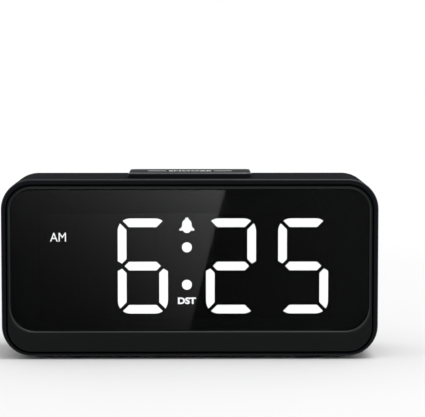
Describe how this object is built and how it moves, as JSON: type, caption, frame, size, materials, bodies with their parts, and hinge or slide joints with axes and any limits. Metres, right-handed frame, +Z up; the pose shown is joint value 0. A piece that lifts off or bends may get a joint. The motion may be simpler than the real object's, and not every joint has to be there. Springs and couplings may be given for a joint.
{
  "type": "digital alarm clock",
  "caption": "Compact black LED alarm clock: rounded sleeve case, tinted screen with lit seven-segment digits, snooze bar on top and set buttons on the back.",
  "frame": {"origin": "on the surface that the feet stand on, under the middle of the whole clock", "axes": "+X to the right along the face as seen from the front, +Y from the screen to the back cover, +Z up"},
  "size_m": [0.09, 0.0276, 0.0445],
  "materials": {
    "case_black": "fine moulded texture, matt black",
    "frame_black": "satin black moulding",
    "screen_tint": "polished dark tinted acrylic",
    "reflector_black": "matt black moulding",
    "light_pipe_lit": "white diffusing resin, lit",
    "light_pipe_dark": "smoked diffusing resin, unlit",
    "board_green": "solder resist on glass laminate",
    "chip_black": "moulded epoxy",
    "led_white": "white chip lamp",
    "tin": "tin plate",
    "screw_black": "black zinc",
    "nickel": "bright nickel plate",
    "button_black": "matt black",
    "switch_grey": "moulded nylon",
    "plunger_black": "moulded nylon",
    "foot_rubber": "matt rubber",
    "cap_sleeve": "shrink sleeve",
    "resistor_body": "glazed"
  },
  "bodies": {
    "case": {"housing": "case_black", "rubber_feet": "foot_rubber", "front_frame": "frame_black", "display_lens": "screen_tint", "led_reflector": "reflector_black", "lit_segments": "light_pipe_lit", "unlit_segments": "light_pipe_dark", "indicator_windows": "light_pipe_dark", "segment_leds": "led_white", "display_board": "board_green", "display_screws": "tin", "pin_header": "tin", "header_socket": "chip_black", "main_board": "board_green", "board_screws": "tin", "clock_chip": "chip_black", "crystal": "nickel", "capacitor": "cap_sleeve", "resistors": "resistor_body", "snooze_switch": "switch_grey", "rear_cover": "case_black", "cover_screws": "screw_black", "button_switches": "switch_grey", "slide_switch": "switch_grey", "power_inlet": "chip_black", "inlet_pin": "nickel", "buzzer": "chip_black", "cell_holder": "switch_grey", "coin_cell": "nickel", "cell_contacts": "nickel"},
    "snooze": {"snooze_bar": "case_black", "snooze_plunger": "plunger_black"},
    "alarm_slider": {"alarm_slider": "button_black"},
    "battery_door": {"battery_door": "case_black", "door_screw": "screw_black"},
    "time_button": {"time_button": "button_black", "time_plunger": "plunger_black"},
    "alarm_button": {"alarm_button": "button_black", "alarm_plunger": "plunger_black"},
    "hour_button": {"hour_button": "button_black", "hour_plunger": "plunger_black"},
    "minute_button": {"minute_button": "button_black", "minute_plunger": "plunger_black"},
    "dst_button": {"dst_button": "button_black", "dst_plunger": "plunger_black"}
  },
  "joints": [
    {"name": "snooze_press", "type": "slide", "parent": "case", "child": "snooze", "axis": [0, 0, -1], "range_m": [0, 0.0008], "stiffness_N_per_m": 1000, "springref_m": -0.0005},
    {"name": "time_press", "type": "slide", "parent": "case", "child": "time_button", "axis": [0, -1, 0], "range_m": [0, 0.0006], "stiffness_N_per_m": 1500, "springref_m": -0.0003},
    {"name": "alarm_press", "type": "slide", "parent": "case", "child": "alarm_button", "axis": [0, -1, 0], "range_m": [0, 0.0006], "stiffness_N_per_m": 1500, "springref_m": -0.0003},
    {"name": "hour_press", "type": "slide", "parent": "case", "child": "hour_button", "axis": [0, -1, 0], "range_m": [0, 0.0006], "stiffness_N_per_m": 1500, "springref_m": -0.0003},
    {"name": "minute_press", "type": "slide", "parent": "case", "child": "minute_button", "axis": [0, -1, 0], "range_m": [0, 0.0006], "stiffness_N_per_m": 1500, "springref_m": -0.0003},
    {"name": "dst_press", "type": "slide", "parent": "case", "child": "dst_button", "axis": [0, -1, 0], "range_m": [0, 0.0006], "stiffness_N_per_m": 1500, "springref_m": -0.0003},
    {"name": "alarm_slide", "type": "slide", "parent": "case", "child": "alarm_slider", "axis": [-1, 0, 0], "range_m": [0, 0.002]},
    {"name": "battery_door_lift", "type": "slide", "parent": "case", "child": "battery_door", "axis": [0, 1, 0], "range_m": [0, 0.012]}
  ]
}
